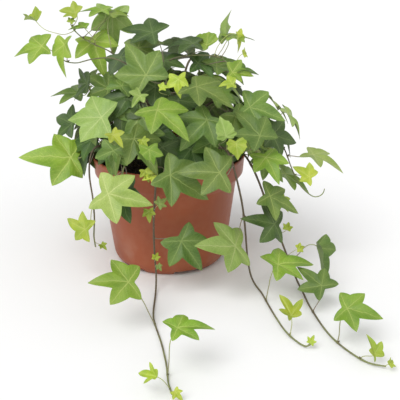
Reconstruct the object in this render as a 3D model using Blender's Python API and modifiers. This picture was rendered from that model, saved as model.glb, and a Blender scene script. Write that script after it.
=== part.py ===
"""Potted English ivy: a nursery pot, its soil, twelve stems, their leaves and four shoots behind.

Metres, +Z up. The origin is the centre of the pot's underside, and -Y is the front.
Routes and leaves are listed in millimetres and scaled by MM.
"""
import math

import bmesh
import bpy
from mathutils import Matrix, Vector

MM = 0.001
NAME = "potted_ivy"
GAP = 0.35              # clearance between touching pieces, mm

# Pot (mm)
POT_HEIGHT = 95.0
RIM_RADIUS = 65.0
COLLAR_HEIGHT = 16.0
COLLAR_TAPER = 1.4      # how much narrower the collar is at its foot
COLLAR_FOOT = POT_HEIGHT - COLLAR_HEIGHT
WALL_TOP = COLLAR_FOOT - 6.5
WALL_TOP_RADIUS = 57.9
WALL_FOOT_RADIUS = 50.2
WALL_FOOT = 12.0        # below this the wall curves in to the foot
FOOT_RADIUS = 44.5
FLOOR_TOP = 5.8
FLOOR_CORNER = 5.0      # how far the floor's rounded edge reaches in
WALL = 2.1
POT_STEPS = 36
DRAINS = 6
DRAIN_TURN = 20.0       # degrees from the front to the first drain pocket
POCKET = (18.0, 23.0, 3.6)
POCKET_RADIUS = 47.0
HOLE_RADIUS = 3.2
HOLE_PLACE = 42.0

# Soil (mm)
SOIL_TOP = 85.5
SOIL_CROWN = 1.0        # how much higher the soil is in the middle than at the wall
STEM_FOOT = 86.0

# Leaf, as fractions of its length from the petiole to the middle tip
BLADE = 0.7             # thickness, mm
OUTLINE = ((0, 1.0), (13, 0.76), (24, 0.52), (31, 0.43), (42, 0.56), (57, 0.72), (74, 0.54),
           (91, 0.38), (106, 0.47), (123, 0.53), (145, 0.36), (180, 0.09))
VEINS = (0, 57, 123)
DROOP = 0.16
LIFT = 0.10
PETIOLE = 0.7          # shortest petiole, as a fraction of the leaf
PETIOLE_RADIUS = 0.65
PETIOLE_POINTS = 5
PETIOLE_BEND = 0.35     # how far each end keeps its direction, of the whole petiole
PETIOLE_END = 0.036     # where it meets the blade, behind the blade's middle
YOUNG = 20.5            # a shorter leaf is still one piece with its shoot, mm
LONGEST = 36            # mm; the petioles of shorter leaves are thinner

TONES = {
    "young": (0.50, 0.58, 0.06),
    "bright": (0.25, 0.42, 0.07),
    "pale": (0.33, 0.46, 0.15),
    "mature": (0.16, 0.29, 0.08),
    "dark": (0.07, 0.16, 0.04),
}

STEM_TAPER = 0.35       # how much thinner a stem is at its tip, as a fraction

# Stems: radius, then the route from the soil to the tip (mm)
STEMS = {
    "front_vine": (0.9, (
        (-5, -26, 86), (-6, -44, 97), (-7, -58, 100), (-7.5, -67, 97), (-8, -69, 85),
        (-10, -68, 58), (-10, -66, 30), (-9, -68, 12), (-9, -76, 2.5), (-9, -88, 1.2),
        (-9, -111, 1.2), (-7, -128, 1.2), (-1, -154, 1.2), (4, -183, 1.2), (6, -203, 1.5),
        (9, -217, 2.5))),
    "right_vine": (0.9, (
        (24, -26, 86), (34, -38, 104), (44, -49, 113), (50, -56, 108), (55, -58, 92),
        (60, -58, 70), (63, -59, 48), (65, -60, 26), (68, -62, 9), (72, -69, 2.3),
        (76, -80, 1.2),
        (81, -106, 1.2), (88, -136, 1.2), (95, -152, 1.2), (101, -160, 1.8), (106, -160, 5))),
    "far_right_vine": (0.9, (
        (28, -8, 86), (46, -16, 100), (62, -26, 101), (74, -36, 82), (84, -45, 56),
        (93, -50, 35), (100, -56, 18), (106, -66, 5), (109, -79, 1.8), (111, -98, 1.2),
        (115, -122, 1.2), (119, -140, 1.2), (124, -154, 1.2), (132, -169, 1.2),
        (141, -180, 1.2), (151, -186, 2.5))),
    "left_vine": (0.85, (
        (-24, -16, 86), (-42, -26, 106), (-56, -34, 110), (-62, -38, 101), (-63, -40, 85),
        (-61, -43, 70), (-60, -46, 52), (-61, -47, 37), (-60, -48, 27))),
    "front_left_stem": (0.85, (
        (-14, -24, 86), (-20, -38, 102), (-27, -52, 108), (-32, -64, 103), (-34, -69, 94))),
    "left_crown": (0.95, (
        (-20, -4, 86), (-34, -14, 112), (-50, -22, 130), (-60, -16, 146), (-66, -8, 158))),
    "middle_crown": (0.95, (
        (2, -12, 86), (3, -24, 112), (3, -32, 134), (2, -30, 152), (-2, -22, 166),
        (-5, -18, 174))),
    "right_crown": (0.95, (
        (16, -12, 86), (34, -22, 110), (48, -28, 126), (58, -24, 136))),
    "upper_left_shoot": (0.75, (
        (-8, -6, 86), (-12, -16, 128), (-20, -26, 162), (-30, -30, 175), (-44, -28, 180),
        (-60, -25, 178), (-70, -22, 175), (-79, -18, 175), (-86, -14, 178), (-92, -10, 183))),
    "top_left_shoot": (0.75, (
        (-15, 1, 86), (-22, 4, 130), (-32, -2, 164), (-45, -5, 180), (-58, -4, 186),
        (-68, -1, 191), (-75, 1, 197), (-78, 2, 202))),
    "top_right_shoot": (0.75, (
        (8, 0, 86), (0, -8, 125), (-4, -16, 160), (2, -19, 176), (20, -17, 180),
        (38, -15, 179), (47, -15, 175), (52, -18, 169), (54, -20, 164))),
    "right_shoot": (0.75, (
        (24, 4, 86), (44, 4, 106), (68, -2, 118), (86, -10, 114), (96, -20, 104),
        (101, -28, 92), (109, -32, 76), (120, -35, 67), (127, -36, 69), (129, -36, 74))),
}

# Leaves by stem: foot of the blade (mm), facing (azimuth from the front towards +X,
# elevation; degrees), turn of the tip clockwise from upright, length (mm), tone
LEAVES = {
    "front_vine": (
        ((4, -83, 102), (20, 40), 130, 33, "mature"),
        ((12, -76, 45), (10, 28), 150, 31, "mature"),
        ((-25, -132, 38), (25, 52), -72, 30, "bright"),
        ((12, -190, 34), (20, 85), 90, 26, "bright"),
        ((-1, -216, 15), (-30, 50), -95, 12, "young")),
    "right_vine": (
        ((41, -92, 107), (10, 40), -80, 32, "mature"),
        ((54, -82, 43), (45, 40), -70, 36, "pale"),
        ((72, -64, 127), (20, 50), -20, 29, "mature"),
        ((87, -92, 32), (15, 74), 83, 32, "bright"),
        ((92, -142, 16), (10, 45), -15, 17, "young"),
        ((53, -84, 127), (10, 35), 178, 12, "young"),
        ((46, -78, 131), (5, 20), -15, 15, "pale")),
    "far_right_vine": (
        ((78, -58, 108), (0, 58), 158, 25, "bright"),
        ((81, -67, 79), (35, 50), 133, 28, "mature"),
        ((85, -71, 57), (46, 34), -60, 31, "dark"),
        ((120, -70, 37), (64, 20), 180, 30, "mature"),
        ((119, -106, 21), (0, 58), -40, 25, "mature"),
        ((130, -150, 26), (-20, 62), 92, 26, "bright"),
        ((144, -181, 9), (40, 30), 0, 13, "young")),
    "left_vine": (
        ((-80, -25, 97), (20, 42), -78, 38, "bright"),
        ((-66, -57, 47), (-25, 15), -80, 21, "young"),
        ((-38, -78, 132), (10, 45), 145, 12, "young")),
    "front_left_stem": (
        ((-24, -65, 125), (22, 45), 155, 31, "mature"),
        ((-40, -62, 115), (-10, 15), -172, 23, "mature"),
        ((-42, -91, 90), (5, 42), 106, 34, "pale"),
        ((-34, -75, 86), (-25, 40), 150, 28, "dark")),
    "left_crown": (
        ((-50, -48, 137), (-10, 40), -90, 30, "pale"),
        ((-82, 2, 119), (-35, 30), -80, 25, "dark"),
        ((-75, 3, 145), (-20, 72), -95, 27, "mature"),
        ((-65, -12, 156), (-50, 20), -100, 20, "dark")),
    "middle_crown": (
        ((-5, -71, 149), (10, 60), 143, 32, "bright"),
        ((32, -58, 138), (0, 45), -135, 31, "mature"),
        ((24, -50, 162), (10, 64), 126, 31, "mature"),
        ((-15, -42, 169), (0, 30), -31, 34, "mature"),
        ((-11, -12, 197), (-10, 60), -75, 30, "dark"),
        ((-19, -54, 156), (10, 45), -140, 12, "pale")),
    "right_crown": (
        ((66, -34, 142), (15, 48), 115, 31, "mature"),
        ((85, -33, 119), (30, 30), 112, 26, "dark")),
    "upper_left_shoot": (
        ((-79, -26, 190), (-50, 20), 175, 24, "bright"),
        ((-100, -10, 186), (-20, 50), -110, 25, "bright")),
    "top_left_shoot": (
        ((-46, 22, 206), (0, 16), 180, 31, "pale"),
        ((-61, 8, 187), (-8, 46), 158, 29, "bright"),
        ((-52, 8, 212), (0, 78), -84, 22, "bright"),
        ((-73, -3, 211), (-10, 50), -75, 15, "young"),
        ((-66, -7, 200), (0, 80), -90, 13, "bright"),
        ((-106, 0, 205), (0, 70), -60, 12, "young")),
    "top_right_shoot": (
        ((32, -5, 186), (-20, 62), -60, 24, "bright"),
        ((21, -10, 188), (5, 75), -88, 26, "dark"),
        ((48, -2, 192), (-66, 12), -28, 23, "pale"),
        ((56, -12, 195), (65, 10), 175, 14, "young"),
        ((52, -30, 169), (10, 45), 100, 17, "bright"),
        ((51, -50, 164), (0, 50), -90, 11, "young")),
    "right_shoot": (
        ((100, 2, 128), (80, 40), 178, 26, "pale"),
        ((97, -24, 83), (70, 55), 165, 28, "mature"),
        ((122, -10, 95), (50, 78), 166, 30, "pale"),
        ((116, -34, 84), (20, 30), -50, 16, "young")),
}

# Shoots behind: direction (degrees from the front), height and reach (mm), first leaf's side.
# They rise inside the pot, arch over its rim and hang behind it.
BACK_SHOOTS = (
    (122, 134, 90, -1),
    (156, 166, 76, -1),
    (188, 132, 94, -1),
    (227, 156, 72, 1),
)
BACK_ROOT = ((14, 0), (20, 0.45), (32, 0.85))     # distance out (mm), share of the height
BACK_ARCH = ((0.62, 1.0), (0.88, 0.78), (1, 0.40), (1.04, 0.0), (1.03, -0.35))  # both shares
BACK_LEAVES = 6
BACK_SPREAD = (0.34, 0.98)  # where the first and last leaf stand along the shoot
BACK_LENGTH = 31
BACK_RADIUS = 0.95
BACK_ASIDE = 15         # how far a leaf stands off its shoot sideways, outward and up, mm
BACK_OUT = 12
BACK_UP = 9


def make_collection(name):
    collection = bpy.data.collections.new(name)
    bpy.context.scene.collection.children.link(collection)
    return collection


def make_material(name, colour, roughness):
    material = bpy.data.materials.new(name)
    material.use_nodes = True
    shader = material.node_tree.nodes["Principled BSDF"]
    shader.inputs["Base Color"].default_value = (*colour, 1.0)
    shader.inputs["Roughness"].default_value = roughness
    shader.inputs["Metallic"].default_value = 0.0
    return material


def add_object(name, data, collection):
    obj = bpy.data.objects.new(name, data)
    collection.objects.link(obj)
    return obj


def make_guide(obj, cutters):
    """Keeps a cutter or a joined piece out of the finished part."""
    for collection in list(obj.users_collection):
        collection.objects.unlink(obj)
    cutters.objects.link(obj)
    obj.hide_render = True
    obj.display_type = "WIRE"


def add_boolean(obj, other, operation):
    modifier = obj.modifiers.new(other.name, "BOOLEAN")
    modifier.operation = operation
    modifier.solver = "EXACT"
    modifier.object = other


def turned(name, profile, steps, collection):
    """A closed turned solid; the profile's outer side runs from top to bottom."""
    mesh = bpy.data.meshes.new(name)
    points = [(r * MM, 0.0, z * MM) for r, z in profile]
    mesh.from_pydata(points, [(i, i + 1) for i in range(len(points) - 1)], [])
    obj = add_object(name, mesh, collection)
    screw = obj.modifiers.new("turn", "SCREW")
    screw.steps = steps
    screw.render_steps = steps
    screw.use_merge_vertices = True
    screw.merge_threshold = 0.00001
    return obj


def make_pot(parts, cutters):
    inner = [
        (0, FLOOR_TOP), (WALL_FOOT_RADIUS - FLOOR_CORNER, FLOOR_TOP),
        (WALL_FOOT_RADIUS - WALL, WALL_FOOT), (WALL_TOP_RADIUS - WALL, WALL_TOP),
        (RIM_RADIUS - COLLAR_TAPER - WALL, COLLAR_FOOT),
        (RIM_RADIUS - WALL, POT_HEIGHT - 1), (RIM_RADIUS - WALL + 0.5, POT_HEIGHT)]
    outer = [
        (RIM_RADIUS - 0.5, POT_HEIGHT), (RIM_RADIUS, POT_HEIGHT - 0.8),
        (RIM_RADIUS - COLLAR_TAPER, COLLAR_FOOT), (WALL_TOP_RADIUS, WALL_TOP),
        (WALL_FOOT_RADIUS, WALL_FOOT), (WALL_FOOT_RADIUS - 0.8, 7), (WALL_FOOT_RADIUS - 2.6, 3),
        (FOOT_RADIUS, 0), (0, 0)]
    pot = turned("pot", inner + outer, POT_STEPS, parts)
    for i in range(DRAINS):
        angle = math.radians(DRAIN_TURN + i * 360 / DRAINS)
        outward = Vector((math.sin(angle), -math.cos(angle), 0))
        pocket_place = outward * POCKET_RADIUS * MM
        bpy.ops.mesh.primitive_cube_add(size=1, location=pocket_place, rotation=(0, 0, angle))
        pocket = bpy.context.object
        pocket.name = f"pocket_{i + 1}"
        pocket.scale = (POCKET[1] * MM, POCKET[0] * MM, 2 * POCKET[2] * MM)
        hole_place = outward * HOLE_PLACE * MM + Vector((0, 0, FLOOR_TOP * MM))
        bpy.ops.mesh.primitive_cylinder_add(
            vertices=16, radius=HOLE_RADIUS * MM, depth=3 * POCKET[2] * MM, location=hole_place)
        hole = bpy.context.object
        hole.name = f"drain_hole_{i + 1}"
        for cutter in (pocket, hole):
            make_guide(cutter, cutters)
            add_boolean(pot, cutter, "DIFFERENCE")
    pot.data.materials.append(make_material("terracotta_plastic", (0.30, 0.10, 0.05), 0.45))
    return pot


def make_soil(parts):
    inside = WALL + GAP
    profile = [
        (0, SOIL_TOP), (RIM_RADIUS - 0.9 - inside, SOIL_TOP - SOIL_CROWN),
        (RIM_RADIUS - COLLAR_TAPER - 0.1 - inside, COLLAR_FOOT),
        (WALL_TOP_RADIUS - 0.1 - inside, WALL_TOP), (WALL_FOOT_RADIUS - inside, WALL_FOOT + 0.3),
        (WALL_FOOT_RADIUS - FLOOR_CORNER - 0.3, FLOOR_TOP + GAP), (0, FLOOR_TOP + GAP)]
    soil = turned("soil", profile, POT_STEPS, parts)
    soil.data.materials.append(make_material("soil", (0.02, 0.013, 0.008), 0.95))
    return soil


def smooth_route(points, steps):
    """Points of a Catmull-Rom curve through the given ones, with so many steps in each span."""
    knots = [Vector(p) for p in points]
    knots = [2 * knots[0] - knots[1]] + knots + [2 * knots[-1] - knots[-2]]
    route = []
    for a, b, c, d in zip(knots, knots[1:], knots[2:], knots[3:]):
        for i in range(steps):
            t = i / steps
            route.append(0.5 * (2 * b + (c - a) * t + (2 * a - 5 * b + 4 * c - d) * t * t
                                + (3 * b - a - 3 * c + d) * t ** 3))
    return route + [knots[-2]]


def tube(name, route, radii, sides, collection):
    """A capped tube along a route in mm, turned into a closed mesh."""
    curve = bpy.data.curves.new(name, "CURVE")
    curve.dimensions = "3D"
    curve.bevel_depth = MM
    curve.bevel_resolution = (sides - 4) // 2
    curve.use_fill_caps = True
    spline = curve.splines.new("POLY")
    spline.points.add(len(route) - 1)
    for point, place, radius in zip(spline.points, route, radii):
        point.co = (*(place * MM), 1.0)
        point.radius = radius
    guide = add_object(name + "_curve", curve, collection)
    bpy.context.view_layer.update()
    evaluated = guide.evaluated_get(bpy.context.evaluated_depsgraph_get())
    mesh = bpy.data.meshes.new_from_object(evaluated)
    mesh.name = name
    bm = bmesh.new()
    bm.from_mesh(mesh)
    bmesh.ops.remove_doubles(bm, verts=bm.verts, dist=0.00001)
    bmesh.ops.recalc_face_normals(bm, faces=bm.faces)
    bm.to_mesh(mesh)
    bm.free()
    obj = add_object(name, mesh, collection)
    obj.matrix_world = guide.matrix_world
    bpy.data.objects.remove(guide)
    return obj


def outline():
    """The whole outline as (angle, reach), clockwise from the middle tip."""
    left = [(-angle, reach) for angle, reach in OUTLINE[1:-1]]
    return list(OUTLINE) + left[::-1]


def blade_height(angle, reach):
    """The blade droops towards its tips and is raised between its veins."""
    away = min(abs(abs(angle) - vein) for vein in VEINS)
    return LIFT * reach * min(away / 30.0, 1.0) - DROOP * reach * reach


def make_blade(name, frame, length, collection):
    bm = bmesh.new()
    middle = bm.verts.new((0, 0, 0))
    rim = []
    for angle, reach in outline():
        turn = math.radians(angle)
        size = reach * length * MM
        height = blade_height(angle, reach) * length * MM
        rim.append(bm.verts.new((size * math.sin(turn), size * math.cos(turn), height)))
    for a, b in zip(rim, rim[1:] + rim[:1]):
        bm.faces.new((middle, b, a))
    mesh = bpy.data.meshes.new(name)
    bm.to_mesh(mesh)
    bm.free()
    blade = add_object(name, mesh, collection)
    blade.matrix_world = frame
    shell = blade.modifiers.new("thickness", "SOLIDIFY")
    shell.thickness = BLADE * MM
    shell.offset = 0
    return blade


def leaf_frame(foot, facing, turn):
    """The leaf's own axes: +Y to the middle tip, +Z out of its upper face."""
    azimuth, rise, roll = (math.radians(v) for v in (*facing, turn))
    normal = Vector((math.sin(azimuth) * math.cos(rise),
                     -math.cos(azimuth) * math.cos(rise), math.sin(rise)))
    upright = Vector((-math.sin(azimuth) * math.sin(rise),
                      math.cos(azimuth) * math.sin(rise), math.cos(rise)))
    tip = math.cos(roll) * upright + math.sin(roll) * upright.cross(normal)
    side = tip.cross(normal)
    frame = Matrix((side, tip, normal)).transposed().to_4x4()
    frame.translation = Vector(foot) * MM
    return frame


def petiole_root(route, foot, length, taken):
    """Where a petiole leaves its stem, near the blade but not too near, and the way out."""
    index = min(range(1, len(route) - 1), key=lambda i: (route[i] - foot).length)
    while index > 1 and ((route[index] - foot).length < PETIOLE * length or index in taken):
        index -= 1
    taken.add(index)
    along = (route[index + 1] - route[index - 1]).normalized()
    away = foot - route[index]
    return route[index], (away - along * away.dot(along)).normalized()


def petiole_route(frame, length, root, out, inset):
    """A curve out of the stem and into the back of the blade."""
    tip, normal = frame.col[1].to_3d(), frame.col[2].to_3d()
    foot = frame.translation / MM - tip * PETIOLE_END * length
    start = root + out * inset
    span = (foot - start).length
    leave = start + out * span * PETIOLE_BEND
    arrive = foot - (tip * 0.6 + normal * 0.8) * span * PETIOLE_BEND
    points = []
    for i in range(PETIOLE_POINTS):
        t = i / (PETIOLE_POINTS - 1)
        s = 1 - t
        points.append(s ** 3 * start + 3 * s * s * t * leave + 3 * s * t * t * arrive
                      + t ** 3 * foot)
    return points


def make_leaf(name, row, route, taken, inset, parts, cutters):
    """A blade and its petiole, joined into one solid."""
    foot, facing, turn, length, tone = row
    frame = leaf_frame(foot, facing, turn)
    blade = make_blade(name, frame, length, parts)
    root, out = petiole_root(route, Vector(foot), length, taken)
    radius = PETIOLE_RADIUS * (0.6 + 0.4 * length / LONGEST)
    points = petiole_route(frame, length, root, out, inset)
    petiole = tube(name + "_petiole", points, [radius] * len(points), 4, parts)
    make_guide(petiole, cutters)
    add_boolean(blade, petiole, "UNION")
    blade.data.materials.append(bpy.data.materials["leaf_" + tone])
    return blade


def make_stem(name, radius, knots, rows, parts, cutters):
    """A stem with its young leaves, and its grown leaves as pieces of their own."""
    route = smooth_route(knots, 2)
    radii = [radius * (1.0 - STEM_TAPER * i / len(route)) for i in range(len(route))]
    stem = tube(name, route, radii, 6, parts)
    stem.data.materials.append(bpy.data.materials["stem"])
    taken = set()
    for i, row in enumerate(rows):
        young = row[3] < YOUNG
        inset = 0 if young else radius + GAP
        leaf = make_leaf(f"{name}_leaf_{i + 1}", row, route, taken, inset, parts, cutters)
        if young:
            make_guide(leaf, cutters)
            add_boolean(stem, leaf, "UNION")
    return stem


def back_route(direction, height, reach):
    """A shoot that rises from the soil, arches outward and hangs behind the pot."""
    angle = math.radians(direction)
    outward = Vector((math.sin(angle), -math.cos(angle), 0))
    rise = height - STEM_FOOT
    profile = BACK_ROOT + tuple((share * reach, z) for share, z in BACK_ARCH)
    return [outward * r + Vector((0, 0, STEM_FOOT + rise * z)) for r, z in profile]


def back_rows(direction, first_side, route):
    """Leaves that stand off a back shoot on both sides, tips outward and down."""
    angle = math.radians(direction)
    outward = Vector((math.sin(angle), -math.cos(angle), 0))
    across = Vector((math.cos(angle), math.sin(angle), 0))
    first, last = BACK_SPREAD
    rows = []
    for i in range(BACK_LEAVES):
        share = first + (last - first) * i / (BACK_LEAVES - 1)
        place = route[int(share * (len(route) - 1))]
        side = -first_side if i % 2 else first_side
        foot = (place + outward * (BACK_OUT + 2 * (i % 3)) + across * side * BACK_ASIDE
                + Vector((0, 0, BACK_UP)))
        facing = (direction + side * 18, 58 - 7 * i)
        turn = 180 - side * (38 - 3 * i)
        tone = ("mature", "dark", "bright")[i % 3]
        rows.append((foot, facing, turn, BACK_LENGTH - 1.5 * (i % 3), tone))
    return rows


def make_back_shoot(index, settings, parts, cutters):
    """A stem and its leaves as one solid."""
    direction, height, reach, first_side = settings
    name = f"back_shoot_{index}"
    route = smooth_route(back_route(direction, height, reach), 2)
    shoot = tube(name, route, [BACK_RADIUS] * len(route), 6, parts)
    shoot.data.materials.append(bpy.data.materials["leaf_mature"])
    taken = set()
    for i, row in enumerate(back_rows(direction, first_side, route)):
        leaf = make_leaf(f"{name}_leaf_{i + 1}", row, route, taken, 0, parts, cutters)
        make_guide(leaf, cutters)
        add_boolean(shoot, leaf, "UNION")
    return shoot


def main():
    for obj in list(bpy.data.objects):
        bpy.data.objects.remove(obj)
    parts = make_collection(NAME)
    cutters = make_collection(NAME + "_cutters")
    make_material("stem", (0.10, 0.09, 0.04), 0.7)
    for tone, colour in TONES.items():
        make_material("leaf_" + tone, colour, 0.4)
    make_pot(parts, cutters)
    make_soil(parts)
    for name, (radius, knots) in STEMS.items():
        make_stem(name, radius, knots, LEAVES[name], parts, cutters)
    for i, settings in enumerate(BACK_SHOOTS):
        make_back_shoot(i + 1, settings, parts, cutters)


main()
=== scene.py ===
"""Looks of the potted ivy: fine leaves, stems, soil and pot on the fixed CAD frame.

Lengths are in millimetres and angles in degrees, except where a comment says otherwise.
"""
import math
import random

import bmesh
import bpy
from mathutils import Matrix, Vector, noise


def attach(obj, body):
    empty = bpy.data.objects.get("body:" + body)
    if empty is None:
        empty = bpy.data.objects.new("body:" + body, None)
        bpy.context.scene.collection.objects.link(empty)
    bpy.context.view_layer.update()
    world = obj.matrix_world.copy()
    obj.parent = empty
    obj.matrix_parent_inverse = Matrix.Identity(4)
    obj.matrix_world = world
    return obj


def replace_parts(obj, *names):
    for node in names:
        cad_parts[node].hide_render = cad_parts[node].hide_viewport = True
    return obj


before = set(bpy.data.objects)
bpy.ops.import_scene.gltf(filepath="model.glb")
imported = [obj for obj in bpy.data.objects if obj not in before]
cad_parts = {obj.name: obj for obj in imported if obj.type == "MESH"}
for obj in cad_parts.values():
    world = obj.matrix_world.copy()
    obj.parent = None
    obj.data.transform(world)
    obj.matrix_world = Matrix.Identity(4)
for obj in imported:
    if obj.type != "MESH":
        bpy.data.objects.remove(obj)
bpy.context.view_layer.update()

MM = 0.001
noise.seed_set(1)             # noise_vector differs from run to run without a seed

# ---- the plan shared with the CAD
POT_HEIGHT = 95.0
RIM_RADIUS = 65.0
COLLAR_HEIGHT = 16.0
COLLAR_TAPER = 1.4
COLLAR_FOOT = POT_HEIGHT - COLLAR_HEIGHT
WALL_TOP = COLLAR_FOOT - 6.5
WALL_TOP_RADIUS = 57.9
WALL_FOOT_RADIUS = 50.2
WALL_FOOT = 12.0
FOOT_RADIUS = 44.5
FLOOR_TOP = 5.8
FLOOR_CORNER = 5.0
WALL = 2.1
GAP = 0.35
DRAINS = 6
DRAIN_TURN = 20.0
POCKET = (18.0, 23.0, 3.6)
POCKET_RADIUS = 47.0
HOLE_RADIUS = 3.2
HOLE_PLACE = 42.0
SOIL_TOP = 85.5
STEM_FOOT = 86.0

STEMS = {
    "front_vine": (0.9, (
        (-5, -26, 86), (-6, -44, 97), (-7, -58, 100), (-7.5, -67, 97), (-8, -69, 85),
        (-10, -68, 58), (-10, -66, 30), (-9, -68, 12), (-9, -76, 2.5), (-9, -88, 1.2),
        (-9, -111, 1.2), (-7, -128, 1.2), (-1, -154, 1.2), (4, -183, 1.2), (6, -203, 1.5),
        (9, -217, 2.5))),
    "right_vine": (0.9, (
        (24, -26, 86), (34, -38, 104), (44, -49, 113), (50, -56, 108), (55, -58, 92),
        (60, -58, 70), (63, -59, 48), (65, -60, 26), (68, -62, 9), (72, -69, 2.3),
        (76, -80, 1.2),
        (81, -106, 1.2), (88, -136, 1.2), (95, -152, 1.2), (101, -160, 1.8), (106, -160, 5))),
    "far_right_vine": (0.9, (
        (28, -8, 86), (46, -16, 100), (62, -26, 101), (74, -36, 82), (84, -45, 56),
        (93, -50, 35), (100, -56, 18), (106, -66, 5), (109, -79, 1.8), (111, -98, 1.2),
        (115, -122, 1.2), (119, -140, 1.2), (124, -154, 1.2), (132, -169, 1.2),
        (141, -180, 1.2), (151, -186, 2.5))),
    "left_vine": (0.85, (
        (-24, -16, 86), (-42, -26, 106), (-56, -34, 110), (-62, -38, 101), (-63, -40, 85),
        (-61, -43, 70), (-60, -46, 52), (-61, -47, 37), (-60, -48, 27))),
    "front_left_stem": (0.85, (
        (-14, -24, 86), (-20, -38, 102), (-27, -52, 108), (-32, -64, 103), (-34, -69, 94))),
    "left_crown": (0.95, (
        (-20, -4, 86), (-34, -14, 112), (-50, -22, 130), (-60, -16, 146), (-66, -8, 158))),
    "middle_crown": (0.95, (
        (2, -12, 86), (3, -24, 112), (3, -32, 134), (2, -30, 152), (-2, -22, 166),
        (-5, -18, 174))),
    "right_crown": (0.95, (
        (16, -12, 86), (34, -22, 110), (48, -28, 126), (58, -24, 136))),
    "upper_left_shoot": (0.75, (
        (-8, -6, 86), (-12, -16, 128), (-20, -26, 162), (-30, -30, 175), (-44, -28, 180),
        (-60, -25, 178), (-70, -22, 175), (-79, -18, 175), (-86, -14, 178), (-92, -10, 183))),
    "top_left_shoot": (0.75, (
        (-15, 1, 86), (-22, 4, 130), (-32, -2, 164), (-45, -5, 180), (-58, -4, 186),
        (-68, -1, 191), (-75, 1, 197), (-78, 2, 202))),
    "top_right_shoot": (0.75, (
        (8, 0, 86), (0, -8, 125), (-4, -16, 160), (2, -19, 176), (20, -17, 180),
        (38, -15, 179), (47, -15, 175), (52, -18, 169), (54, -20, 164))),
    "right_shoot": (0.75, (
        (24, 4, 86), (44, 4, 106), (68, -2, 118), (86, -10, 114), (96, -20, 104),
        (101, -28, 92), (109, -32, 76), (120, -35, 67), (127, -36, 69), (129, -36, 74))),
}

# Leaves by stem: foot of the blade (mm), facing, turn of the tip, length (mm), tone
LEAVES = {
    "front_vine": (
        ((4, -83, 102), (20, 40), 130, 33, "mature"),
        ((12, -76, 45), (10, 28), 150, 31, "mature"),
        ((-25, -132, 38), (25, 52), -72, 30, "bright"),
        ((12, -190, 34), (20, 85), 90, 26, "bright"),
        ((-1, -216, 15), (-30, 50), -95, 12, "young")),
    "right_vine": (
        ((41, -92, 107), (10, 40), -80, 32, "mature"),
        ((54, -82, 43), (45, 40), -70, 36, "pale"),
        ((72, -64, 127), (20, 50), -20, 29, "mature"),
        ((87, -92, 32), (15, 74), 83, 32, "bright"),
        ((92, -142, 16), (10, 45), -15, 17, "young"),
        ((53, -84, 127), (10, 35), 178, 12, "young"),
        ((46, -78, 131), (5, 20), -15, 15, "pale")),
    "far_right_vine": (
        ((78, -58, 108), (0, 58), 158, 25, "bright"),
        ((81, -67, 79), (35, 50), 133, 28, "mature"),
        ((85, -71, 57), (46, 34), -60, 31, "dark"),
        ((120, -70, 37), (64, 20), 180, 30, "mature"),
        ((119, -106, 21), (0, 58), -40, 25, "mature"),
        ((130, -150, 26), (-20, 62), 92, 26, "bright"),
        ((144, -181, 9), (40, 30), 0, 13, "young")),
    "left_vine": (
        ((-80, -25, 97), (20, 42), -78, 38, "bright"),
        ((-66, -57, 47), (-25, 15), -80, 21, "young"),
        ((-38, -78, 132), (10, 45), 145, 12, "young")),
    "front_left_stem": (
        ((-24, -65, 125), (22, 45), 155, 31, "mature"),
        ((-40, -62, 115), (-10, 15), -172, 23, "mature"),
        ((-42, -91, 90), (5, 42), 106, 34, "pale"),
        ((-34, -75, 86), (-25, 40), 150, 28, "dark")),
    "left_crown": (
        ((-50, -48, 137), (-10, 40), -90, 30, "pale"),
        ((-82, 2, 119), (-35, 30), -80, 25, "dark"),
        ((-75, 3, 145), (-20, 72), -95, 27, "mature"),
        ((-65, -12, 156), (-50, 20), -100, 20, "dark")),
    "middle_crown": (
        ((-5, -71, 149), (10, 60), 143, 32, "bright"),
        ((32, -58, 138), (0, 45), -135, 31, "mature"),
        ((24, -50, 162), (10, 64), 126, 31, "mature"),
        ((-15, -42, 169), (0, 30), -31, 34, "mature"),
        ((-11, -12, 197), (-10, 60), -75, 30, "dark"),
        ((-19, -54, 156), (10, 45), -140, 12, "pale")),
    "right_crown": (
        ((66, -34, 142), (15, 48), 115, 31, "mature"),
        ((85, -33, 119), (30, 30), 112, 26, "dark")),
    "upper_left_shoot": (
        ((-79, -26, 190), (-50, 20), 175, 24, "bright"),
        ((-100, -10, 186), (-20, 50), -110, 25, "bright")),
    "top_left_shoot": (
        ((-46, 22, 206), (0, 16), 180, 31, "pale"),
        ((-61, 8, 187), (-8, 46), 158, 29, "bright"),
        ((-52, 8, 212), (0, 78), -84, 22, "bright"),
        ((-73, -3, 211), (-10, 50), -75, 15, "young"),
        ((-66, -7, 200), (0, 80), -90, 13, "bright"),
        ((-106, 0, 205), (0, 70), -60, 12, "young")),
    "top_right_shoot": (
        ((32, -5, 186), (-20, 62), -60, 24, "bright"),
        ((21, -10, 188), (5, 75), -88, 26, "dark"),
        ((48, -2, 192), (-66, 12), -28, 23, "pale"),
        ((56, -12, 195), (65, 10), 175, 14, "young"),
        ((52, -30, 169), (10, 45), 100, 17, "bright"),
        ((51, -50, 164), (0, 50), -90, 11, "young")),
    "right_shoot": (
        ((100, 2, 128), (80, 40), 178, 26, "pale"),
        ((97, -24, 83), (70, 55), 165, 28, "mature"),
        ((122, -10, 95), (50, 78), 166, 30, "pale"),
        ((116, -34, 84), (20, 30), -50, 16, "young")),
}

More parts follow.
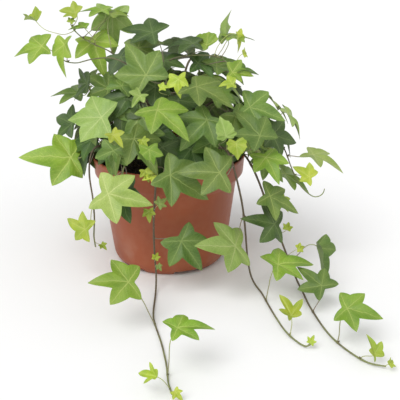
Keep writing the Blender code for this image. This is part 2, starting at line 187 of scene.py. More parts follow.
# Shoots behind: direction from the front, height, reach, side of the first leaf
BACK_SHOOTS = (
    (122, 134, 90, -1),
    (156, 166, 76, -1),
    (188, 132, 94, -1),
    (227, 156, 72, 1),
)
BACK_ROOT = ((14, 0), (20, 0.45), (32, 0.85))     # distance out, share of the height
BACK_ARCH = ((0.62, 1.0), (0.88, 0.78), (1, 0.40), (1.04, 0.0), (1.03, -0.35))  # both shares
BACK_LEAVES = 6
BACK_SPREAD = (0.34, 0.98)
BACK_LENGTH = 31
BACK_RADIUS = 0.95
BACK_ASIDE = 15
BACK_OUT = 12
BACK_UP = 9

PETIOLE = 0.7                 # shortest petiole, by leaf length
PETIOLE_END = 0.036           # where it meets the blade, behind the foot, by leaf length
PETIOLE_BEND = 0.35           # how far its end directions carry, by its own length
YOUNG = 20.5                  # shorter leaves are young, and the CAD joins them to their stem

# Leaves with a habit of their own, by stem and number
SHAPES = {
    ("left_crown", 1): dict(full=0.24, lobes=(0.95, 1.1, 1.1, 1.1, 1.2)),
    ("front_left_stem", 3): dict(full=0.0, stretch=0.04),
    ("front_vine", 5): dict(fold=0.6, full=-0.15, lobes=(1.2, 0.95, 0.95, 0.6, 0.6)),
    ("left_vine", 1): dict(lobes=(1.1, 1, 1, 1, 1)),
    ("far_right_vine", 4): dict(fold=0.7, lobes=(1.15, 0.85, 0.85, 0.8, 0.8)),
    ("middle_crown", 1): dict(droop=0.18, fold=0.02),
    ("middle_crown", 4): dict(full=0.12, fold=0.05),
    ("top_left_shoot", 2): dict(droop=0.42, fold=0.35),
    ("top_left_shoot", 6): dict(fold=0.9, full=0.3),
    ("upper_left_shoot", 1): dict(fold=0.35, droop=0.3),
    ("top_right_shoot", 1): dict(fold=0.4, full=0.5, lobes=(1, 0.75, 0.75, 0.8, 0.8)),
    ("top_right_shoot", 3): dict(fold=0.3, full=0.4, lobes=(1.1, 0.65, 0.65, 0.6, 0.6)),
    ("right_vine", 5): dict(fold=0.7, full=-0.15, lobes=(1.1, 1, 0.9, 0.7, 0.7)),
    ("right_vine", 6): dict(full=0.6, fold=0.2),
    ("right_vine", 7): dict(full=0.8, fold=0.3, lobes=(1, 0.75, 0.75, 0.7, 0.7)),
}

# ---- detail that the CAD leaves out
SHOOT_SLIM = 0.78             # a shoot's radius that is seen, as against the plain stem
# Small leaves with a petiole from a point of the plant: foot, facing, turn, length, tone, root
SMALL_LEAVES = (
    ((-15, -74, 102), (5, 25), 165, 9, "young", (-8, -69, 92)),
    ((-5, -76, 76), (20, 30), 60, 9, "pale", (-9.5, -68.5, 68)),
    ((-13, -76, 70), (-10, 30), 170, 9, "young", (-9.5, -68.5, 62)),
    ((-12, -70, 118), (0, 25), 172, 16, "bright", (-8, -58, 100)),
    ((-17, -66, 124), (0, 40), 150, 8, "young", (-8, -56, 101)),
    ((-9, -74, 99), (10, 35), -110, 10, "young", (-8, -68, 92)),
    ((-3, -50, 161), (0, 50), 80, 7, "young", (2, -30, 150)),
    ((10, -46, 167), (-20, 20), 172, 15, "young", (2, -28, 156)),
    ((-9, -70, 27), (0, 40), 20, 6, "young", (-10, -66, 22)),
    ((-7, -71, 21), (10, 30), 150, 5, "pale", (-10, -66, 18)),
    ((-55, -46, 28), (10, 40), 140, 6, "young", (-60, -48, 31)),
    ((104, -160, 5), (0, 40), 30, 6, "young", (102, -160, 2)),
    ((106, -64, 33), (10, 40), 80, 7, "young", (99, -57, 24)),
    ((97, -56, 47), (0, 40), 20, 7, "young", (92, -50, 40)),
    ((91, -52, 70), (20, 35), 150, 12, "young", (86, -46, 52)),
    ((61, -15, 181), (60, 20), 80, 7, "young", (53, -20, 170)),
    ((51, -7, 193), (10, 84), 82, 21, "bright", (40, -15, 178)),
    ((58, -22, 167), (20, 84), 90, 17, "mature", (52, -18, 169)),
    ((11, -220, 6), (20, 50), 150, 7, "young", (9, -216, 2.5)),
    ((-46, 10, 209), (20, 82), 62, 21, "bright", (-45, -5, 180)),
    ((-76, -8, 205), (0, 40), 30, 6, "young", (-75, 1, 197)),
    ((153, -187, 5), (40, 40), 80, 6, "young", (150, -186, 2.5)),
)

# Leaves inside the crown: foot, facing, turn, length, tone; each grows from the nearest stem.
# Most take the dark tone as painted shade deep in the crown
INNER_LEAVES = (
    ((-38, -34, 118), (-20, 40), -150, 28, "dark"),
    ((-62, -24, 112), (-40, 35), -120, 27, "dark"),
    ((-30, -30, 150), (-10, 45), -100, 28, "dark"),
    ((-8, -36, 122), (0, 35), 170, 28, "dark"),
    ((22, -34, 116), (10, 35), 150, 29, "dark"),
    ((44, -38, 120), (15, 40), 170, 28, "dark"),
    ((38, -20, 150), (20, 50), 60, 28, "mature"),
    ((72, -14, 112), (50, 40), 120, 27, "dark"),
    ((-48, -16, 153), (-15, 45), -60, 26, "mature"),
    ((-36, -26, 157), (0, 60), 20, 24, "mature"),
    ((-23, -8, 184), (10, 50), 70, 24, "mature"),
    ((-37, -14, 178), (-15, 40), 140, 25, "dark"),
    ((-2, -20, 176), (5, 65), 60, 26, "dark"),
    ((25, -8, 172), (15, 60), 100, 27, "dark"),
    ((40, -10, 170), (20, 65), 70, 25, "mature"),
    ((-9, -28, 157), (0, 40), -120, 27, "dark"),
    ((9, -32, 147), (10, 35), 160, 27, "dark"),
    ((-20, -40, 138), (-10, 35), -160, 28, "mature"),
    ((-35, -34, 142), (-20, 30), 170, 27, "dark"),
    ((-20, -44, 124), (0, 35), 150, 27, "mature"),
    ((-38, -58, 117), (-15, 40), 175, 25, "mature"),
    ((-3, -48, 113), (5, 35), -170, 27, "dark"),
    ((19, -46, 111), (10, 40), 165, 27, "dark"),
    ((36, -44, 116), (10, 40), -165, 26, "mature"),
    ((55, -38, 136), (20, 45), 150, 26, "mature"),
    ((62, -44, 120), (25, 45), 120, 26, "mature"),
    ((78, -36, 100), (35, 40), 150, 25, "mature"),
    ((-62, -10, 99), (-30, 40), -150, 25, "dark"),
    ((-70, 4, 108), (-50, 35), 170, 25, "dark"),
)

# Leaves over the back and sides of the crown, placed in a spiral
CROWN_LEAVES = 64
CROWN_TURN = 137.5            # degrees from each leaf to the next
CROWN_REACH = (40, 68)        # from the middle, at the top and at the foot of the crown
CROWN_RISE = (104, 158)       # height of the first leaf and of the last
CROWN_FRONT = 72              # degrees from the front within which none is placed


def show(name, data):
    obj = bpy.data.objects.new(name, data)
    bpy.context.scene.collection.objects.link(obj)
    return obj


def bezier(a, b, c, d, t):
    s = 1 - t
    return s ** 3 * a + 3 * s * s * t * b + 3 * s * t * t * c + t ** 3 * d


def smooth_route(points, steps):
    """A Catmull-Rom curve through the points."""
    knots = [Vector(p) for p in points]
    knots = [2 * knots[0] - knots[1]] + knots + [2 * knots[-1] - knots[-2]]
    route = []
    for a, b, c, d in zip(knots, knots[1:], knots[2:], knots[3:]):
        for i in range(steps):
            t = i / steps
            route.append(0.5 * (2 * b + (c - a) * t + (2 * a - 5 * b + 4 * c - d) * t * t
                                + (3 * b - a - 3 * c + d) * t ** 3))
    return route + [knots[-2]]


def leaf_frame(foot, facing, turn):
    """The leaf's own axes: x to its right, y to its tip, z out of its face."""
    azimuth, rise, roll = (math.radians(v) for v in (*facing, turn))
    normal = Vector((math.sin(azimuth) * math.cos(rise),
                     -math.cos(azimuth) * math.cos(rise), math.sin(rise)))
    upright = Vector((-math.sin(azimuth) * math.sin(rise),
                      math.cos(azimuth) * math.sin(rise), math.cos(rise)))
    tip = math.cos(roll) * upright + math.sin(roll) * upright.cross(normal)
    side = tip.cross(normal)
    made = Matrix((side, tip, normal)).transposed().to_4x4()
    made.translation = Vector(foot) * MM
    return made


def petiole_root(route, foot, length, taken):
    """Where on the stem the petiole starts, and its direction away from the stem."""
    index = min(range(1, len(route) - 1), key=lambda i: (route[i] - foot).length)
    while index > 1 and ((route[index] - foot).length < PETIOLE * length or index in taken):
        index -= 1
    taken.add(index)
    along = (route[index + 1] - route[index - 1]).normalized()
    away = foot - route[index]
    return route[index], (away - along * away.dot(along)).normalized()


def petiole_points(frame_, length, root, out, count):
    tip, normal = frame_.col[1].to_3d(), frame_.col[2].to_3d()
    foot = frame_.translation / MM - tip * PETIOLE_END * length
    span = (foot - root).length
    leave = root + out * span * PETIOLE_BEND
    arrive = foot - (tip * 0.6 + normal * 0.8).normalized() * span * PETIOLE_BEND
    return [bezier(root, leave, arrive, foot, i / (count - 1)) for i in range(count)]


# ---- leaf shape
# Tips and the notches between them, in turn from the middle tip: angle (degrees), reach
TIPS = ((0, 1.0), (57, 0.72), (123, 0.53))
NOTCHES = ((31, 0.43), (91, 0.39))
HEEL = (173, 0.16)
TIP_SPREAD = (17, 20, 28)     # how much an edge bulges beside each tip
NOTCH_SPREAD = 15             # and how much beside each notch
EDGE_PULL = (0.36, 0.34)      # how far the bulges carry, by the edge's length
EDGE_STEPS = 9
# The blade's inner rings, as shares of the outline
RINGS = (0.07, 0.17, 0.29, 0.42, 0.55, 0.68, 0.80, 0.90, 0.96)
VEIN_ANGLES = tuple(angle for angle, _ in TIPS)
NOTCH_WIDTH = 13
PLEAT_WIDTH = 30.0
RIDGE_WIDTH = 0.020           # of a main vein, by leaf length
RIDGE_HEIGHT = 0.007
THICK = 0.34


def polar(angle, reach):
    angle = math.radians(angle)
    return Vector((reach * math.sin(angle), reach * math.cos(angle)))


def edge(tip, notch, spread):
    """One side of a tongue-shaped lobe, from its tip to the notch."""
    a, d = polar(*tip), polar(*notch)
    span = d - a
    side = 1 if notch[0] > tip[0] else -1
    bulge = Matrix.Rotation(math.radians(side * spread), 2)
    b = a + (bulge @ span) * EDGE_PULL[0]
    inward = Matrix.Rotation(math.radians(-side * NOTCH_SPREAD), 2)
    c = d - (inward @ span) * EDGE_PULL[1]
    shares = [0.5 - 0.5 * math.cos(math.pi * (i / EDGE_STEPS) ** 0.85)
              for i in range(EDGE_STEPS + 1)]
    return [bezier(a, b, c, d, share) for share in shares]


def half_outline():
    points = edge(TIPS[0], NOTCHES[0], TIP_SPREAD[0])
    points += edge(TIPS[1], NOTCHES[0], TIP_SPREAD[1])[::-1][1:]
    points += edge(TIPS[1], NOTCHES[1], TIP_SPREAD[1])[1:]
    points += edge(TIPS[2], NOTCHES[1], TIP_SPREAD[2])[::-1][1:]
    points += edge(TIPS[2], HEEL, TIP_SPREAD[2])[1:]
    return points


RIGHT_HALF = half_outline()
OUTLINE = RIGHT_HALF + [Vector((-p.x, p.y)) for p in RIGHT_HALF[:0:-1]]


def vein_ridge(x, y):
    """1 on a main vein, falling to 0 beside it."""
    best = 0.0
    for angle in VEIN_ANGLES:
        a = math.radians(angle)
        s = abs(x) * math.sin(a) + y * math.cos(a)
        d = abs(abs(x) * math.cos(a) - y * math.sin(a))
        if s > 0:
            best = max(best, math.exp(-(d / RIDGE_WIDTH) ** 2) * max(0.0, 1 - 0.8 * s))
    return best


def ease(t):
    return t * t * (3 - 2 * t)


def between_veins(x, y):
    """0 on a main vein, rising to 1 well away from all of them."""
    angle = abs(math.degrees(math.atan2(x, y)))
    away = min(abs(angle - vein) for vein in VEIN_ANGLES)
    return ease(min(away, PLEAT_WIDTH) / PLEAT_WIDTH)


class Habit:
    """How one leaf differs from the next."""

    def __init__(self, rng, **given):
        self.stretch = rng.uniform(-0.05, 0.07)      # longer middle lobe
        self.narrow = rng.uniform(-0.05, 0.05)       # pulls the side lobes forward
        self.skew = rng.uniform(-5, 5)               # degrees
        self.fold = rng.uniform(-0.02, 0.16)         # V along the middle vein
        self.droop = rng.uniform(0.10, 0.24)
        self.curl = rng.uniform(0.0, 0.10)           # tips bend down
        self.wave = rng.uniform(0.008, 0.022)
        self.phase = rng.uniform(0, 2 * math.pi)
        self.full = rng.uniform(-0.04, 0.10)         # shallower notches
        self.pleat = rng.uniform(0.10, 0.19)         # raised between the veins
        self.lobes = (1, 1, 1, 1, 1)                 # middle, right, left, right and left heel
        self.seed = rng.random()
        self.__dict__.update(given)

    def lobe(self, around, right):
        """How long the lobes are at an angle, as against the plain outline."""
        middle, side, heel = self.lobes[0], self.lobes[2 - right], self.lobes[4 - right]
        if around < VEIN_ANGLES[1]:
            return middle + (side - middle) * ease(around / VEIN_ANGLES[1])
        if around < VEIN_ANGLES[2]:
            share = (around - VEIN_ANGLES[1]) / (VEIN_ANGLES[2] - VEIN_ANGLES[1])
            return side + (heel - side) * ease(share)
        behind = 0.5 * (self.lobes[3] + self.lobes[4])
        return heel + (behind - heel) * ease((around - VEIN_ANGLES[2]) / (180 - VEIN_ANGLES[2]))

    def place(self, x, y):
        """A leaf's point from the point of the plain outline, as fractions of its length."""
        reach = math.hypot(x, y)
        angle = math.atan2(x, y)
        turn = math.radians(self.skew) * math.sin(angle) ** 2
        turn -= self.narrow * math.sin(2 * angle)
        turn += 0.04 * math.sin(3 * angle + self.phase) * reach
        ahead = max(0.0, math.cos(angle))
        around = abs(math.degrees(angle))
        notch = sum(math.exp(-((around - middle) / NOTCH_WIDTH) ** 2) for middle, _ in NOTCHES)
        grow = (1 + self.stretch * ahead * ahead + self.full * notch
                + 0.03 * math.sin(2 * angle + self.phase))
        size = reach * self.lobe(around, x > 0) * grow
        return size * math.sin(angle + turn), size * math.cos(angle + turn)

    def height(self, x, y):
        """How far a point stands out of the leaf's plane, as a fraction of its length."""
        reach = math.hypot(x, y)
        angle = math.atan2(x, y)
        z = self.pleat * reach * between_veins(x, y)
        z -= self.droop * reach * reach
        z += self.fold * (math.sqrt(x * x + 0.004) - 0.063)
        z -= self.curl * max(0.0, reach - 0.5) ** 2 * 2.0
        z += self.wave * reach * math.sin(5 * angle + self.phase)
        z += self.wave * 0.5 * reach * math.sin(9 * angle + 2.3 * self.phase)
        z += 0.05 * math.sin(self.phase * 3) * x * reach
        return z


def add_leaf_shell(bm, layer, length, habit, where):
    """A closed leaf blade: upper and lower grids that share the outline."""
    count = len(OUTLINE)

    def point(x, y, off):
        u, v = habit.place(x, y)
        z = habit.height(x, y) + RIDGE_HEIGHT * vein_ridge(x, y) * (1 if off > 0 else -1)
        vert = bm.verts.new(where @ Vector((u * length * MM, v * length * MM,
                                            z * length * MM + off * MM)))
        vert[layer] = Vector((x, y, habit.seed))
        return vert

    rim = [point(p.x, p.y, 0) for p in OUTLINE]
    for off, material, flip in ((THICK / 2, 0, False), (-THICK / 2, 1, True)):
        middle = point(0, 0, off)
        rows = [[point(p.x * t, p.y * t, off) for p in OUTLINE] for t in RINGS] + [rim]
        for i in range(count):
            j = (i + 1) % count
            made = [bm.faces.new((middle, rows[0][j], rows[0][i]))]
            for inner, outer in zip(rows, rows[1:]):
                made.append(bm.faces.new((inner[i], inner[j], outer[j], outer[i])))
            for face in made:
                face.material_index = material
                face.smooth = True
                if flip:
                    face.normal_flip()
    for a, b in zip(rim, rim[1:] + rim[:1]):
        bm.edges.get((a, b)).smooth = False


def add_tube(bm, layer, points, radii, sides, material):
    """A capped round tube through points in metres; its attribute runs from 0 to 1 along it."""
    count = len(points)
    previous = None
    rings = []
    travelled = 0.0
    total = sum((b - a).length for a, b in zip(points, points[1:])) or 1.0
    for i, place in enumerate(points):
        along = (points[min(i + 1, count - 1)] - points[max(i - 1, 0)]).normalized()
        if previous is None:
            helper = Vector((0, 0, 1)) if abs(along.z) < 0.9 else Vector((1, 0, 0))
            first = along.cross(helper).normalized()
        else:
            first = (previous - along * previous.dot(along)).normalized()
        previous = first
        second = along.cross(first)
        if i:
            travelled += (place - points[i - 1]).length
        ring = []
        for k in range(sides):
            angle = 2 * math.pi * k / sides
            vert = bm.verts.new(place + (first * math.cos(angle) + second * math.sin(angle))
                                * radii[i])
            vert[layer] = Vector((travelled / total, k / sides, 0))
            ring.append(vert)
        rings.append(ring)
    made = []
    for a, b in zip(rings, rings[1:]):
        for k in range(sides):
            m = (k + 1) % sides
            made.append(bm.faces.new((a[k], a[m], b[m], b[k])))
    made.append(bm.faces.new(rings[0][::-1]))
    made.append(bm.faces.new(rings[-1]))
    for face in made:
        face.material_index = material
        face.smooth = True


def finish_mesh(name, bm, materials):
    mesh = bpy.data.meshes.new(name)
    bmesh.ops.recalc_face_normals(bm, faces=bm.faces)
    bm.to_mesh(mesh)
    bm.free()
    for material in materials:
        mesh.materials.append(material)
    obj = show(name, mesh)
    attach(obj, "root")
    return obj


# ---- materials
class Nodes:
    """Short names for the nodes of one material."""

    def __init__(self, name):
        self.material = bpy.data.materials.new(name)
        self.material.use_nodes = True
        self.tree = self.material.node_tree
        self.shader = self.tree.nodes["Principled BSDF"]

    def node(self, kind, **settings):
        made = self.tree.nodes.new(kind)
        for key, value in settings.items():
            setattr(made, key, value)
        return made

    def link(self, source, target):
        self.tree.links.new(source, target)

    def feed(self, socket, value):
        if isinstance(value, bpy.types.NodeSocket):
            self.link(value, socket)
        else:
            socket.default_value = value

    def math(self, operation, a, b=0.0):
        made = self.node("ShaderNodeMath", operation=operation)
        for socket, value in zip(made.inputs, (a, b)):
            self.feed(socket, value)
        return made.outputs[0]

    def add(self, a, b):
        return self.math("ADD", a, b)

    def sub(self, a, b):
        return self.math("SUBTRACT", a, b)

    def mul(self, a, b):
        return self.math("MULTIPLY", a, b)

    def ramp(self, value, low, high, to_low=0.0, to_high=1.0, smooth=True):
        made = self.node("ShaderNodeMapRange")
        made.interpolation_type = "SMOOTHSTEP" if smooth else "LINEAR"
        for socket, given in zip(made.inputs, (value, low, high, to_low, to_high)):
            self.feed(socket, given)
        return made.outputs[0]

    def mix(self, factor, a, b):
        made = self.node("ShaderNodeMix", data_type="RGBA")
        self.feed(made.inputs[0], factor)
        for socket, value in ((made.inputs[6], a), (made.inputs[7], b)):
            self.feed(socket, (*value, 1.0) if isinstance(value, tuple) else value)
        return made.outputs[2]

    def noise(self, vector, scale, detail, rough=0.5):
        made = self.node("ShaderNodeTexNoise")
        self.feed(made.inputs["Vector"], vector)
        made.inputs["Scale"].default_value = scale
        made.inputs["Detail"].default_value = detail
        made.inputs["Roughness"].default_value = rough
        return made.outputs[0]

    def bump(self, height, distance, strength):
        made = self.node("ShaderNodeBump")
        made.inputs["Strength"].default_value = strength
        made.inputs["Distance"].default_value = distance
        self.feed(made.inputs["Height"], height)
        return made.outputs[0]

    def place(self):
        """Where a point is on the object, in metres."""
        return self.node("ShaderNodeTexCoord").outputs["Object"]

    def attribute(self, name):
        return self.node("ShaderNodeAttribute", attribute_name=name).outputs["Vector"]

    def split(self, vector):
        made = self.node("ShaderNodeSeparateXYZ")
        self.link(vector, made.inputs[0])
        return made.outputs[0], made.outputs[1], made.outputs[2]

    def join(self, x, y, z):
        made = self.node("ShaderNodeCombineXYZ")
        for socket, value in zip(made.inputs, (x, y, z)):
            self.feed(socket, value)
        return made.outputs[0]


def hue_shift(n, colour, hue, value):
    made = n.node("ShaderNodeHueSaturation")
    n.feed(made.inputs["Hue"], hue)
    n.feed(made.inputs["Value"], value)
    n.feed(made.inputs["Color"], colour)
    return made.outputs[0]


VEIN_WIDTH = (0.014, 0.004)   # of a main vein at the leaf's foot and at a tip, by leaf length
SIDE_VEIN_STEP = 0.125        # from one side vein to the next, by leaf length
SIDE_VEIN_LEAN = 1.15         # how far a side vein runs on as it goes outwards
SIDE_VEIN_SHIFT = 0.055       # between the side veins left and right of a main vein
NET_SCALE = 17.0              # cells of the finest veins in a leaf's length
SEED_SPREAD = 40.0            # keeps the patterns of two leaves apart
VEIN_SHARE = 0.74             # how much of the vein colour shows on a main vein


def main_veins(n, px, py):
    """The nearest main vein's distances along and aside, and how much of a vein a point is."""
    angle = n.mul(n.math("ARCTAN2", px, py), 180 / math.pi)
    for k, vein_angle in enumerate(VEIN_ANGLES):
        a = math.radians(vein_angle)
        s = n.add(n.mul(px, math.sin(a)), n.mul(py, math.cos(a)))
        d = n.sub(n.mul(px, math.cos(a)), n.mul(py, math.sin(a)))
        width = n.ramp(s, 0.0, TIPS[k][1], *VEIN_WIDTH, smooth=False)
        line = n.sub(1.0, n.ramp(n.math("DIVIDE", n.math("ABSOLUTE", d), width), 0.35, 1.5))
        line = n.mul(line, n.math("GREATER_THAN", s, -0.01))
        if k == 0:
            along, aside, main = s, d, line
            continue
        here = n.math("GREATER_THAN", angle, 0.5 * (vein_angle + VEIN_ANGLES[k - 1]))
        along = n.add(n.mul(s, here), n.mul(along, n.sub(1.0, here)))
        aside = n.add(n.mul(d, here), n.mul(aside, n.sub(1.0, here)))
        main = n.math("MAXIMUM", main, line)
    return along, aside, main


def leaf_material(name, lamina, deep, vein, under):
    """Waxy lamina with pale main veins, side veins and a fine net between them."""
    n = Nodes(name)
    x, y, seed = n.split(n.attribute("leaf"))
    spot = n.join(x, y, n.mul(seed, SEED_SPREAD))
    wobble = n.mul(n.sub(n.noise(spot, 3.5, 2.0), 0.5), 0.10)
    fine_wobble = n.mul(n.sub(n.noise(spot, 11.0, 2.0), 0.5), 0.030)
    px = n.math("ABSOLUTE", n.add(n.add(x, wobble), fine_wobble))
    along, aside, main = main_veins(n, px, n.add(y, fine_wobble))
    away = n.math("ABSOLUTE", aside)
    row = n.sub(along, n.mul(away, SIDE_VEIN_LEAN))
    row = n.add(row, n.mul(n.math("GREATER_THAN", aside, 0.0), SIDE_VEIN_SHIFT))
    count = n.math("DIVIDE", n.add(row, 2.0), SIDE_VEIN_STEP)
    wave = n.math("ABSOLUTE", n.sub(n.math("FRACT", count), 0.5))
    side = n.sub(1.0, n.ramp(wave, 0.02, 0.11))
    side = n.mul(side, n.ramp(away, 0.32, 0.03, 0.15, 1.0))
    net_maker = n.node("ShaderNodeTexVoronoi", feature="DISTANCE_TO_EDGE")
    n.link(spot, net_maker.inputs["Vector"])
    net_maker.inputs["Scale"].default_value = NET_SCALE
    net = n.sub(1.0, n.ramp(net_maker.outputs["Distance"], 0.0, 0.09))
    cells = n.noise(spot, 2.2, 3.0)
    colour = n.mix(n.ramp(cells, 0.36, 0.64), lamina, deep)
    colour = n.mix(n.mul(n.ramp(away, 0.16, 0.0), 0.20), colour, vein)
    colour = n.mix(n.mul(net, 0.20 if under else 0.10), colour, vein)
    colour = n.mix(n.mul(side, 0.35 if under else 0.22), colour, vein)
    colour = n.mix(n.mul(main, VEIN_SHARE), colour, vein)
    specks = n.ramp(n.noise(spot, 38.0, 1.0), 0.35, 0.75, 0.93, 1.06)
    value = n.mul(n.ramp(seed, 0.0, 1.0, 0.80, 1.16, smooth=False), specks)
    hue = n.ramp(n.math("FRACT", n.mul(seed, 7.31)), 0.0, 1.0, 0.486, 0.506, smooth=False)
    n.link(hue_shift(n, colour, hue, value), n.shader.inputs["Base Color"])
    rough = n.ramp(n.noise(spot, 6.0, 3.0), 0.3, 0.7, 0.34, 0.48)
    rough = n.add(rough, n.mul(main, 0.12))
    if under:
        rough = n.add(rough, 0.2)
    n.link(rough, n.shader.inputs["Roughness"])
    ridges = n.add(n.mul(main, 0.6), n.add(n.mul(side, 0.45), n.mul(net, 0.16)))
    grain = n.mul(n.noise(spot, 60.0, 2.0), 0.10)
    height = n.add(ridges, grain) if under else n.sub(grain, n.mul(ridges, 0.7))
    n.link(n.bump(height, 0.00035, 0.55), n.shader.inputs["Normal"])
    n.shader.inputs["Specular IOR Level"].default_value = 0.36
    return n.material


def stem_material(name, young, old, speck):
    n = Nodes(name)
    t, around, _ = n.split(n.attribute("leaf"))
    place = n.place()
    stretched = n.join(n.mul(t, 40.0), n.mul(around, 6.0), 0.0)
    patches = n.noise(place, 90.0, 3.0)
    streaks = n.noise(stretched, 3.0, 3.0)
    age = n.ramp(n.add(t, n.mul(n.sub(patches, 0.5), 0.7)), 0.55, 1.05)
    colour = n.mix(age, old, young)
    colour = n.mix(n.ramp(streaks, 0.45, 0.75, 0.0, 0.35), colour, speck)
    warts = n.ramp(n.noise(place, 900.0, 1.0), 0.60, 0.72)
    colour = n.mix(n.mul(warts, 0.5), colour, speck)
    n.link(colour, n.shader.inputs["Base Color"])
    n.link(n.ramp(streaks, 0.2, 0.8, 0.5, 0.75), n.shader.inputs["Roughness"])
    height = n.add(n.mul(streaks, 0.7), n.mul(warts, 0.5))
    n.link(n.bump(height, 0.0003, 0.7), n.shader.inputs["Normal"])
    return n.material


def petiole_material(name, blade_end, stem_end):
    n = Nodes(name)
    t, around, _ = n.split(n.attribute("leaf"))
    patches = n.noise(n.place(), 160.0, 2.0)
    colour = n.mix(n.ramp(n.add(t, n.mul(n.sub(patches, 0.5), 0.6)), 0.15, 0.95),
                   stem_end, blade_end)
    n.link(colour, n.shader.inputs["Base Color"])
    n.link(n.ramp(patches, 0.2, 0.8, 0.35, 0.55), n.shader.inputs["Roughness"])
    grooves = n.math("ABSOLUTE", n.math("SINE", n.mul(around, 4 * math.pi)))
    n.link(n.bump(grooves, 0.0001, 0.4), n.shader.inputs["Normal"])
    return n.material


def pot_material():
    n = Nodes("terracotta_plastic")
    place = n.place()
    x, y, z = n.split(place)
    broad = n.noise(place, 14.0, 3.0)
    mottle = n.noise(place, 160.0, 3.0)
    streak_place = n.join(n.mul(x, 120.0), n.mul(y, 120.0), n.mul(z, 9.0))
    streaks = n.noise(streak_place, 1.0, 3.0)
    colour = n.mix(n.ramp(broad, 0.3, 0.7), (0.300, 0.074, 0.030), (0.345, 0.092, 0.038))
    colour = n.mix(n.ramp(mottle, 0.35, 0.75, 0.0, 0.16), colour, (0.40, 0.17, 0.09))
    colour = n.mix(n.ramp(streaks, 0.55, 0.8, 0.0, 0.22), colour, (0.22, 0.070, 0.032))
    dust = n.mul(n.ramp(n.noise(place, 45.0, 4.0), 0.5, 0.75), n.ramp(z, 0.045, 0.0, 0.0, 0.35))
    colour = n.mix(dust, colour, (0.46, 0.30, 0.22))
    n.link(colour, n.shader.inputs["Base Color"])
    fine = n.noise(place, 1400.0, 2.0)
    n.link(n.ramp(n.add(mottle, n.mul(streaks, 0.4)), 0.4, 1.0, 0.36, 0.52),
           n.shader.inputs["Roughness"])
    n.link(n.bump(n.add(n.mul(fine, 0.4), n.mul(broad, 2.0)), 0.00012, 0.5),
           n.shader.inputs["Normal"])
    n.shader.inputs["Specular IOR Level"].default_value = 0.3
    return n.material


def soil_material():
    n = Nodes("potting_soil")
    place = n.place()
    clods = n.noise(place, 260.0, 5.0, 0.65)
    fibres = n.noise(place, 900.0, 3.0)
    colour = n.mix(n.ramp(clods, 0.3, 0.7), (0.010, 0.006, 0.004), (0.055, 0.032, 0.018))
    colour = n.mix(n.ramp(fibres, 0.62, 0.72, 0.0, 0.5), colour, (0.13, 0.085, 0.05))
    n.link(colour, n.shader.inputs["Base Color"])
    n.link(n.ramp(clods, 0.2, 0.8, 0.8, 0.97), n.shader.inputs["Roughness"])
    n.link(n.bump(n.add(clods, n.mul(fibres, 0.4)), 0.0012, 0.9), n.shader.inputs["Normal"])
    return n.material


TONES = {
    # tone: lamina, deep lamina, veins, petiole at the blade, petiole at the stem
    "young": ((0.40, 0.51, 0.045), (0.29, 0.42, 0.030), (0.52, 0.60, 0.15),
              (0.46, 0.52, 0.15), (0.36, 0.38, 0.14)),
    "bright": ((0.205, 0.350, 0.026), (0.142, 0.272, 0.019), (0.42, 0.52, 0.13),
               (0.36, 0.42, 0.14), (0.26, 0.24, 0.12)),
    "pale": ((0.290, 0.415, 0.092), (0.212, 0.335, 0.062), (0.46, 0.55, 0.20),
             (0.36, 0.43, 0.17), (0.28, 0.23, 0.15)),
    "mature": ((0.124, 0.216, 0.033), (0.080, 0.162, 0.024), (0.30, 0.40, 0.11),
               (0.32, 0.37, 0.14), (0.23, 0.18, 0.13)),
    # the darkest green; the inner leaves wear it as painted shade within the crown
    "dark": ((0.052, 0.112, 0.017), (0.033, 0.078, 0.013), (0.16, 0.24, 0.08),
             (0.24, 0.28, 0.12), (0.18, 0.13, 0.10)),
}


UNDERSIDE = (0.42, 0.52, 0.30)


def paler(colour, amount):
    return tuple(c + (w - c) * amount for c, w in zip(colour, UNDERSIDE))


LEAF_MATERIALS = {}
for tone, (lamina, deep, vein, blade_end, stem_end) in TONES.items():
    LEAF_MATERIALS[tone] = (
        leaf_material(f"leaf_{tone}_top", lamina, deep, vein, False),
        leaf_material(f"leaf_{tone}_under", paler(lamina, 0.35), paler(deep, 0.35),
                      paler(vein, 0.2), True),
        petiole_material(f"petiole_{tone}", blade_end, stem_end))
OLD_STEM = stem_material("stem_bark", (0.22, 0.25, 0.09), (0.105, 0.078, 0.045),
                         (0.30, 0.24, 0.15))
YOUNG_STEM = stem_material("stem_green", (0.25, 0.32, 0.10), (0.115, 0.092, 0.050),
                           (0.17, 0.14, 0.09))


# ---- the plant
YOUNG_FOLD = (0.25, 0.6)      # how much further a young leaf is folded
LONGEST = 36
PETIOLE_RADIUS = 0.42         # of the longest leaf's petiole
PETIOLE_POINTS = 16
PETIOLE_SWAY = 0.6
PETIOLE_SIDES = 10
STEM_SIDES = 14
STEM_TAPER = 0.35
BUD = ((0.5, 0.55), (1.2, 0.62), (1.9, 0.42), (2.6, 0.06))    # distance out, radius


